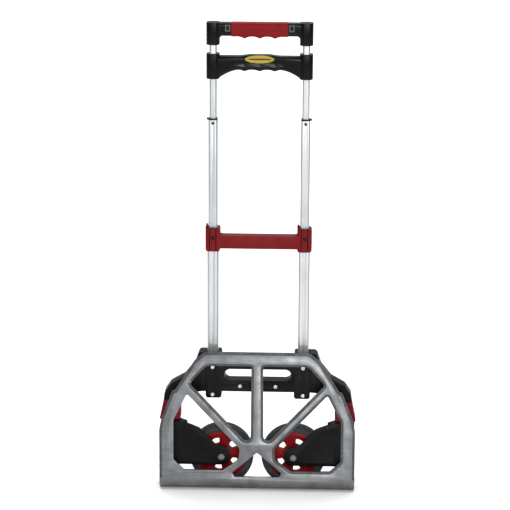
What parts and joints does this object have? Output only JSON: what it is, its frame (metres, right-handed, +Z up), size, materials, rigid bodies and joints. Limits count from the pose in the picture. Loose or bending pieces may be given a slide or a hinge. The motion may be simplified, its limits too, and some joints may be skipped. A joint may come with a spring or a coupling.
{
  "type": "hand truck",
  "caption": "Folding two-wheel hand truck with a telescopic twin-tube handle, squeeze release bar, swing-out wheels and a ribbed aluminium toe plate, shown folded.",
  "frame": {"origin": "middle of the ground footprint, at the height of the ground, with the truck folded and its handle drawn out", "axes": "+Z up along the handle tubes, front of the toe plate towards -Y, right side towards +X seen from the front"},
  "size_m": [0.389, 0.064, 0.929],
  "materials": {
    "black_plastic": "fine-textured black nylon moulding, satin",
    "red_plastic": "satin deep red moulding",
    "red_rim": "glossy deep red moulding",
    "grip_rubber": "soft matt red rubber",
    "tube_aluminium": "satin silver anodised extrusion",
    "cast_aluminium": "brushed grey casting",
    "zinc_steel": "bright zinc plated",
    "spring_steel": "drawn spring wire",
    "nylon": "natural nylon",
    "tyre_rubber": "solid grey-black rubber",
    "grey_insert": "embossed dark grey plastic",
    "badge_yellow": "printed domed label without lettering"
  },
  "bodies": {
    "frame": {"base_crosspiece": "black_plastic", "shoulder_left": "black_plastic", "shoulder_right": "black_plastic", "pivot_housing_left": "red_plastic", "pivot_housing_right": "red_plastic", "side_leg_left": "black_plastic", "side_leg_right": "black_plastic", "lower_tube_left": "tube_aluminium", "lower_tube_right": "tube_aluminium", "lower_guides": "black_plastic", "crossbar": "red_plastic", "crossbar_screws": "zinc_steel", "base_screws": "zinc_steel", "bracket_bolts": "zinc_steel", "hinge_rod": "zinc_steel", "rod_clips": "zinc_steel", "swing_pin_left": "zinc_steel", "swing_pin_right": "zinc_steel", "swing_spring_left": "spring_steel", "swing_spring_right": "spring_steel"},
    "middle_stage": {"middle_tube_left": "tube_aluminium", "middle_tube_right": "tube_aluminium", "collar_left": "black_plastic", "collar_right": "black_plastic", "middle_plugs": "black_plastic"},
    "upper_stage": {"upper_tube_left": "tube_aluminium", "upper_tube_right": "tube_aluminium", "top_handle": "black_plastic", "grip": "grip_rubber", "handle_inserts": "grey_insert", "handle_screws": "zinc_steel", "lock_housing_left": "black_plastic", "lock_housing_right": "black_plastic", "return_spring_left": "spring_steel", "return_spring_right": "spring_steel"},
    "release_bar": {"release_bar": "black_plastic", "badge": "badge_yellow", "release_rod_left": "zinc_steel", "release_rod_right": "zinc_steel"},
    "lock_pin_left": {"lock_pin_left": "zinc_steel"},
    "lock_pin_right": {"lock_pin_right": "zinc_steel"},
    "toe_plate": {"toe_plate": "cast_aluminium", "hinge_bushes": "nylon"},
    "carrier_left": {"wheel_carrier_left": "black_plastic", "carrier_bushes_left": "nylon", "axle_left": "zinc_steel", "axle_nut_left": "zinc_steel"},
    "carrier_right": {"wheel_carrier_right": "black_plastic", "carrier_bushes_right": "nylon", "axle_right": "zinc_steel", "axle_nut_right": "zinc_steel"},
    "wheel_left": {"rim_left": "red_rim", "tyre_left": "tyre_rubber", "wheel_bearing_left": "nylon"},
    "wheel_right": {"rim_right": "red_rim", "tyre_right": "tyre_rubber", "wheel_bearing_right": "nylon"}
  },
  "joints": [
    {"name": "toe_plate_fold", "type": "hinge", "parent": "frame", "child": "toe_plate", "pos_m": [0, -0.012, 0.02], "axis": [1, 0, 0], "range_deg": [0, 90]},
    {"name": "carrier_swing_left", "type": "hinge", "parent": "frame", "child": "carrier_left", "pos_m": [-0.171, 0.012, 0.09], "axis": [0, 0, 1], "range_deg": [0, 90]},
    {"name": "carrier_swing_right", "type": "hinge", "parent": "frame", "child": "carrier_right", "pos_m": [0.171, 0.012, 0.09], "axis": [0, 0, 1], "range_deg": [-90, 0]},
    {"name": "wheel_spin_left", "type": "hinge", "parent": "carrier_left", "child": "wheel_left", "pos_m": [-0.0715, 0.012, 0.0635], "axis": [0, 1, 0], "continuous": true},
    {"name": "wheel_spin_right", "type": "hinge", "parent": "carrier_right", "child": "wheel_right", "pos_m": [0.0715, 0.012, 0.0635], "axis": [0, 1, 0], "continuous": true},
    {"name": "middle_slide", "type": "slide", "parent": "frame", "child": "middle_stage", "axis": [0, 0, 1], "range_m": [-0.2075, 0]},
    {"name": "upper_slide", "type": "slide", "parent": "middle_stage", "child": "upper_stage", "axis": [0, 0, 1], "range_m": [-0.077, 0]},
    {"name": "release_slide", "type": "slide", "parent": "upper_stage", "child": "release_bar", "axis": [0, 0, 1], "range_m": [0, 0.012], "stiffness_N_per_m": 400, "springref_m": -0.01, "deforming": ["return_spring_left", "return_spring_right"]},
    {"name": "lock_pin_slide_left", "type": "slide", "parent": "upper_stage", "child": "lock_pin_left", "axis": [0, -1, 0], "range_m": [0, 0.003]},
    {"name": "lock_pin_slide_right", "type": "slide", "parent": "upper_stage", "child": "lock_pin_right", "axis": [0, -1, 0], "range_m": [0, 0.003]}
  ],
  "couplings": [
    {"joint": "carrier_swing_left", "follows": "toe_plate_fold", "ratio": 1},
    {"joint": "carrier_swing_right", "follows": "toe_plate_fold", "ratio": -1},
    {"joint": "lock_pin_slide_left", "follows": "release_slide", "ratio": 0.25},
    {"joint": "lock_pin_slide_right", "follows": "release_slide", "ratio": 0.25}
  ]
}
